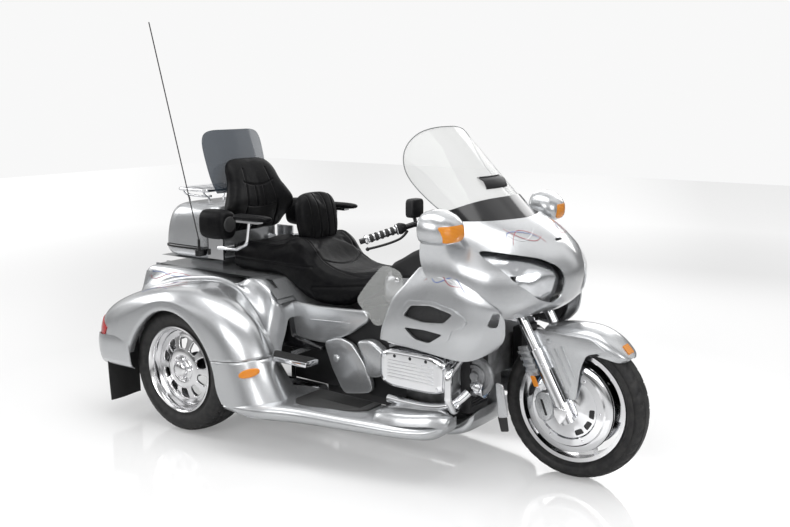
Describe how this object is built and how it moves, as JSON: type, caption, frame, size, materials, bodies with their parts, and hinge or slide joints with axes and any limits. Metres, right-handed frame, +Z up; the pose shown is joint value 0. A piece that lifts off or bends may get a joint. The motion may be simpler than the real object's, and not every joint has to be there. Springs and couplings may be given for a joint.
{
  "type": "three-wheeled touring motorcycle",
  "caption": "Touring motorcycle converted to a trike, with full fairing, two-up seat, top box, wide rear body over two road wheels and a steered front wheel.",
  "frame": {"origin": "on the ground, midway between the rearmost and foremost points, on the centre plane", "axes": "+X forward, +Y to the left, +Z up"},
  "size_m": [2.668, 1.416, 1.9699],
  "materials": {
    "silver_paint": "metallic silver lacquer",
    "chrome": "polished",
    "polished_alloy": "polished",
    "cast_alloy": "satin",
    "black_steel": "satin black",
    "black_plastic": "grained",
    "gloss_black": "gloss",
    "leather": "black, soft",
    "tyre": "matt",
    "rubber": "matt",
    "clear_screen": "clear",
    "smoked_screen": "smoked",
    "lamp_glass": "clear, fluted reflector behind",
    "amber_glass": "amber",
    "red_glass": "red"
  },
  "bodies": {
    "chassis": {"amber_lenses": "amber_glass", "antenna": "gloss_black", "arm_brackets": "chrome", "armrests": "leather", "belly_cowl": "silver_paint", "dash": "black_plastic", "driving_lamps": "lamp_glass", "engine": "cast_alloy", "engine_guards": "chrome", "exhausts": "chrome", "fairing": "silver_paint", "footboards": "chrome", "frame": "black_steel", "frame_covers": "chrome", "headlamps": "lamp_glass", "mirrors": "silver_paint", "mudflaps": "rubber", "radiators": "black_steel", "rear_axle": "black_steel", "rear_body": "silver_paint", "rear_bumper": "silver_paint", "rider_backrest": "leather", "running_boards": "silver_paint", "screen_band": "gloss_black", "seat": "leather", "side_covers": "silver_paint", "side_cowls": "silver_paint", "speaker_pods": "leather", "tail_lamps": "red_glass", "tank_cover": "black_plastic", "top_box": "silver_paint", "valve_covers": "chrome", "wind_wings": "clear_screen", "windscreen": "clear_screen"},
    "steering": {"fork": "chrome", "handlebar": "gloss_black", "front_fender": "silver_paint", "disc_covers": "chrome"},
    "front_wheel": {"front_rim": "polished_alloy", "front_tyre": "tyre"},
    "rear_wheel_left": {"rear_rim_left": "polished_alloy", "rear_tyre_left": "tyre"},
    "rear_wheel_right": {"rear_rim_right": "polished_alloy", "rear_tyre_right": "tyre"},
    "luggage_lid": {"top_lid": "silver_paint", "luggage_rack": "chrome", "passenger_backrest": "leather", "rear_shield": "smoked_screen"},
    "rear_door": {"trunk_door": "silver_paint"}
  },
  "joints": [
    {"name": "steering_turn", "type": "hinge", "parent": "chassis", "child": "steering", "pos_m": [0.66658, 0, 0.81142], "axis": [-0.4886, 0, 0.8725], "range_deg": [-35, 35]},
    {"name": "front_wheel_spin", "type": "hinge", "parent": "steering", "child": "front_wheel", "pos_m": [1.012, 0, 0.32], "axis": [0, 1, 0], "continuous": true},
    {"name": "rear_left_spin", "type": "hinge", "parent": "chassis", "child": "rear_wheel_left", "pos_m": [-0.771, 0.53, 0.31], "axis": [0, 1, 0], "continuous": true},
    {"name": "rear_right_spin", "type": "hinge", "parent": "chassis", "child": "rear_wheel_right", "pos_m": [-0.771, -0.53, 0.31], "axis": [0, 1, 0], "continuous": true},
    {"name": "lid_hinge", "type": "hinge", "parent": "chassis", "child": "luggage_lid", "pos_m": [-0.869, 0, 0.838], "axis": [0, 1, 0], "range_deg": [0, 40]},
    {"name": "door_hinge", "type": "hinge", "parent": "chassis", "child": "rear_door", "pos_m": [-1.259, 0, 0.721], "axis": [0, 1, 0], "range_deg": [0, 68]}
  ]
}
